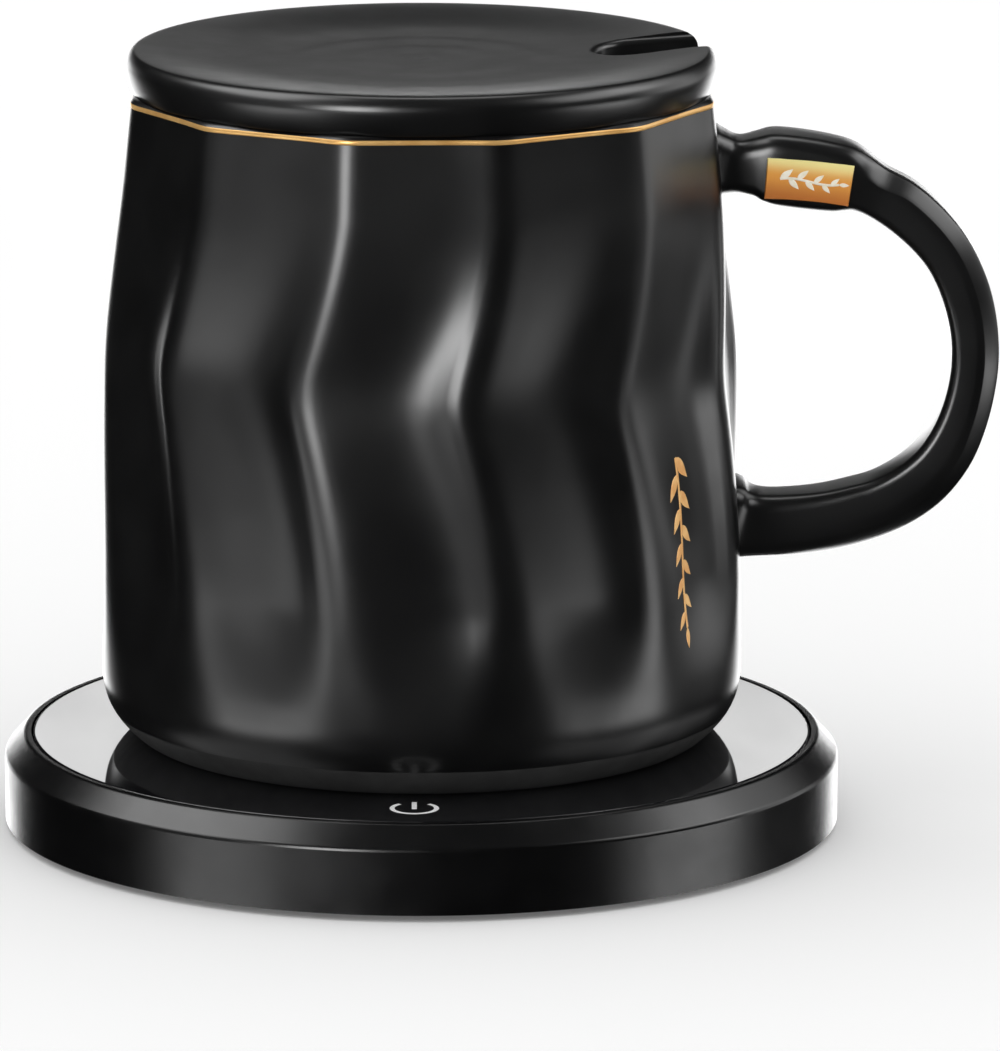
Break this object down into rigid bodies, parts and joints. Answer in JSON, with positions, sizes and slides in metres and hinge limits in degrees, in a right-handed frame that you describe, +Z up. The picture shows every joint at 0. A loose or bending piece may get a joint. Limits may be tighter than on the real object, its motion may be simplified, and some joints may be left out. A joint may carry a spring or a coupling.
{
  "type": "electric mug warmer",
  "caption": "Round desk mug warmer with a glass heating top and a touch key, carrying a faceted ceramic mug with a ring handle and a lid with a spoon notch.",
  "frame": {"origin": "on the desk, on the axis of the round base", "axes": "+Z up; the touch key is at -Y, the power inlet at +Y, the mug's handle at +X"},
  "size_m": [0.1424, 0.12, 0.1125],
  "materials": {
    "satin_black_abs": "fine moulded texture, satin",
    "black_base_cover": "fine moulded texture",
    "grey_rubber": "matt",
    "black_printed_glass": "polished, printed black behind",
    "white_key_mark": "lit from behind",
    "foam_tape": "foam",
    "silicone_pad": "soft, matt",
    "aluminium_plate": "mill finish",
    "amber_film": "gloss",
    "ceramic_paper": "felted",
    "galvanised_sheet": "galvanised",
    "black_epoxy": "gloss",
    "white_ceramic": "fired, unglazed",
    "zinc_steel": "zinc plated",
    "green_board": "solder mask",
    "chip_black": "matt",
    "tan_ceramic": "satin",
    "white_nylon": "satin",
    "spring_steel": "drawn",
    "clear_acrylic": "polished",
    "lamp_white": "diffused",
    "inlet_black": "gloss",
    "nickel_pin": "nickel plated",
    "contact_brass": "rolled",
    "silicone_lead": "smooth",
    "satin_black_glaze": "satin",
    "gilding": "fired gilding, bright"
  },
  "bodies": {
    "base": {"upper_housing": "satin_black_abs", "bottom_cover": "black_base_cover", "anti_slip_ring": "grey_rubber", "glass_panel": "black_printed_glass", "power_symbol": "white_key_mark", "glass_adhesive_ring": "foam_tape", "thermal_pad": "silicone_pad", "heater_plate": "aluminium_plate", "heater_film": "amber_film", "insulation_pad": "ceramic_paper", "heater_retainer": "galvanised_sheet", "thermistor": "black_epoxy", "thermal_fuse": "white_ceramic", "retainer_screws": "zinc_steel", "cover_screws": "zinc_steel", "control_board": "green_board", "board_screws": "zinc_steel", "controller_chip": "chip_black", "power_transistor": "chip_black", "board_capacitors": "tan_ceramic", "heater_connector": "white_nylon", "sensor_connector": "white_nylon", "touch_spring": "spring_steel", "light_guide": "clear_acrylic", "symbol_lamps": "lamp_white", "inlet_housing": "inlet_black", "inlet_pin": "nickel_pin", "inlet_sleeve_contact": "contact_brass", "inlet_leads": "silicone_lead", "heater_leads": "silicone_lead", "sensor_leads": "silicone_lead"},
    "mug": {"mug_body": "satin_black_glaze", "gilt_rim_line": "gilding", "handle_badge": "gilding"},
    "lid": {"lid": "satin_black_glaze"}
  },
  "joints": [
    {"name": "mug_lift", "type": "slide", "parent": "base", "child": "mug", "axis": [0, 0, 1], "range_m": [0, 0.1]},
    {"name": "lid_lift", "type": "slide", "parent": "mug", "child": "lid", "axis": [0, 0, 1], "range_m": [0, 0.1]}
  ]
}
